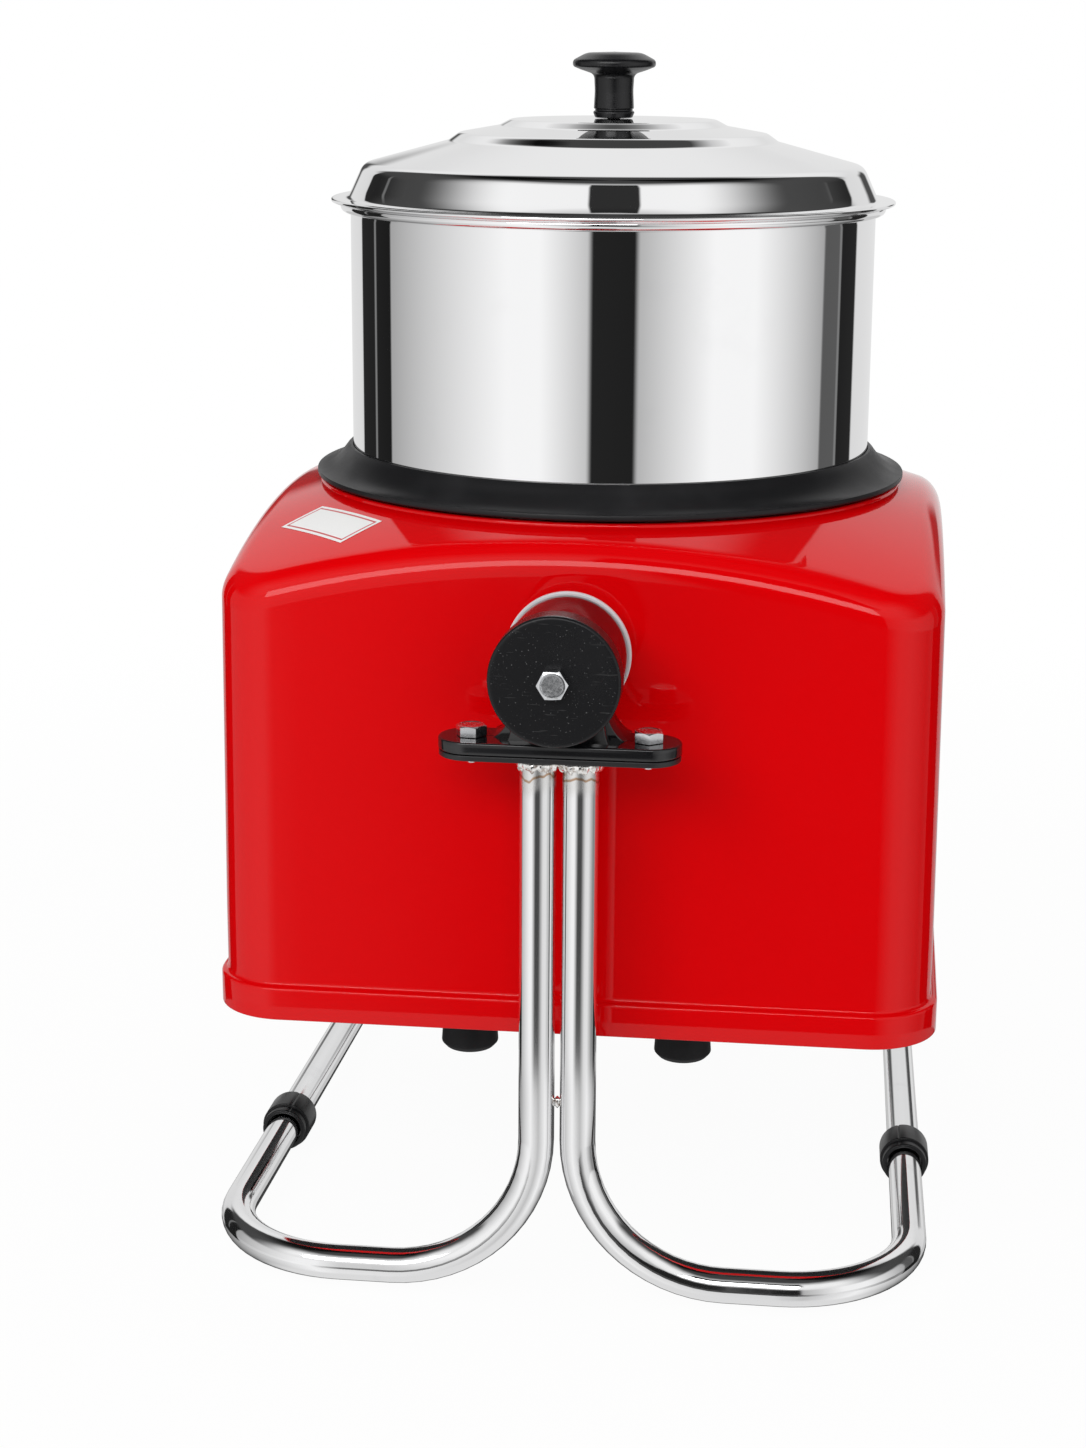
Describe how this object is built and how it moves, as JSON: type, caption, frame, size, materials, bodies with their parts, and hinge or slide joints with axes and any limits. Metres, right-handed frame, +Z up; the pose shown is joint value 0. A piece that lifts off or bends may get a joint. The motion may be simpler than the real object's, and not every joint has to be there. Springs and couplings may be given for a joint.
{
  "type": "tilting wet grinder",
  "caption": "Tabletop wet grinder: a lidded steel drum with stone rollers on a boxy red body, hung on trunnions in a stand of bent tubes.",
  "frame": {"origin": "on the floor, below the middle of the drum", "axes": "+X to the right and +Y to the back seen from the front, +Z up along the drum's axis"},
  "size_m": [0.336, 0.463, 0.5429],
  "materials": {
    "stainless_tube": "bright drawn stainless tube",
    "stainless": "mirror-polished stainless sheet",
    "zinc": "bright zinc-plated steel",
    "steel": "turned and rolled steel",
    "black_steel": "black powder coat",
    "red_plastic": "glossy red moulded plastic",
    "black_moulding": "glossy black moulded plastic",
    "cap_plastic": "satin black plastic",
    "black_plastic": "black plastic",
    "black_sleeve": "black moulded plastic",
    "pale_nylon": "natural nylon",
    "bronze": "sintered bronze",
    "foot_rubber": "matte black rubber",
    "belt_rubber": "matte black flat belt",
    "ring_rubber": "matte black moulded ring",
    "granite": null,
    "aluminium": "die-cast aluminium"
  },
  "bodies": {
    "stand": {"left_stand_tube": "stainless_tube", "right_stand_tube": "stainless_tube", "front_left_sleeve": "black_sleeve", "front_right_sleeve": "black_sleeve", "rear_left_sleeve": "black_sleeve", "rear_right_sleeve": "black_sleeve", "front_top_plate": "black_steel", "front_bearing_block": "black_moulding", "front_bush": "bronze", "front_left_block_bolt": "zinc", "front_left_block_nut": "zinc", "front_right_block_bolt": "zinc", "front_right_block_nut": "zinc", "rear_top_plate": "black_steel", "rear_bearing_block": "black_moulding", "rear_bush": "bronze", "rear_left_block_bolt": "zinc", "rear_left_block_nut": "zinc", "rear_right_block_bolt": "zinc", "rear_right_block_nut": "zinc"},
    "body": {"body_shell": "red_plastic", "base_plate": "black_steel", "front_left_foot": "foot_rubber", "front_right_foot": "foot_rubber", "rear_left_foot": "foot_rubber", "rear_right_foot": "foot_rubber", "cradle": "steel", "front_trunnion_shaft": "steel", "front_thrust_washer": "pale_nylon", "front_end_cap": "cap_plastic", "front_cap_bolt": "zinc", "rear_trunnion_shaft": "steel", "rear_thrust_washer": "pale_nylon", "rear_end_cap": "cap_plastic", "rear_cap_bolt": "zinc", "spindle_housing": "aluminium", "upper_bearing": "steel", "lower_bearing": "steel", "motor": "aluminium", "capacitor": "aluminium", "drive_belt": "belt_rubber", "switch_bezel": "black_plastic", "cable_gland": "black_plastic", "centre_post": "steel", "roller_holder": "stainless", "lock_knob": "black_plastic", "batter_scraper": "pale_nylon"},
    "drum": {"drum": "stainless", "skirt_ring": "ring_rubber", "base_stone": "granite", "spindle": "steel", "driven_pulley": "aluminium"},
    "left_roller": {"left_roller_stone": "granite"},
    "right_roller": {"right_roller_stone": "granite"},
    "rotor": {"motor_rotor": "steel", "motor_pulley": "aluminium", "cooling_fan": "black_plastic"},
    "lid": {"lid": "stainless", "lid_knob": "black_plastic"},
    "switch": {"switch_rocker": "black_plastic"}
  },
  "joints": [
    {"name": "body_tilt", "type": "hinge", "parent": "stand", "child": "body", "pos_m": [0, 0, 0.2917], "axis": [0, 1, 0], "range_deg": [-110, 110]},
    {"name": "drum_spin", "type": "hinge", "parent": "body", "child": "drum", "pos_m": [0, 0, 0.3], "axis": [0, 0, 1], "continuous": true},
    {"name": "motor_spin", "type": "hinge", "parent": "body", "child": "rotor", "pos_m": [0, 0.092, 0.2], "axis": [0, 0, 1], "continuous": true},
    {"name": "left_roller_spin", "type": "hinge", "parent": "body", "child": "left_roller", "pos_m": [0, 0, 0.3665], "axis": [-0.9165, 0, 0.4], "continuous": true},
    {"name": "right_roller_spin", "type": "hinge", "parent": "body", "child": "right_roller", "pos_m": [0, 0, 0.3665], "axis": [0.9165, 0, 0.4], "continuous": true},
    {"name": "lid_lift", "type": "slide", "parent": "drum", "child": "lid", "axis": [0, 0, 1], "range_m": [0, 0.12]},
    {"name": "switch_rock", "type": "hinge", "parent": "body", "child": "switch", "pos_m": [-0.1603, 0.06, 0.178], "axis": [0, 1, 0], "range_deg": [-8, 0]}
  ],
  "couplings": [
    {"joint": "motor_spin", "follows": "drum_spin", "ratio": 7},
    {"joint": "left_roller_spin", "follows": "drum_spin", "ratio": 2.5},
    {"joint": "right_roller_spin", "follows": "drum_spin", "ratio": 2.5}
  ]
}
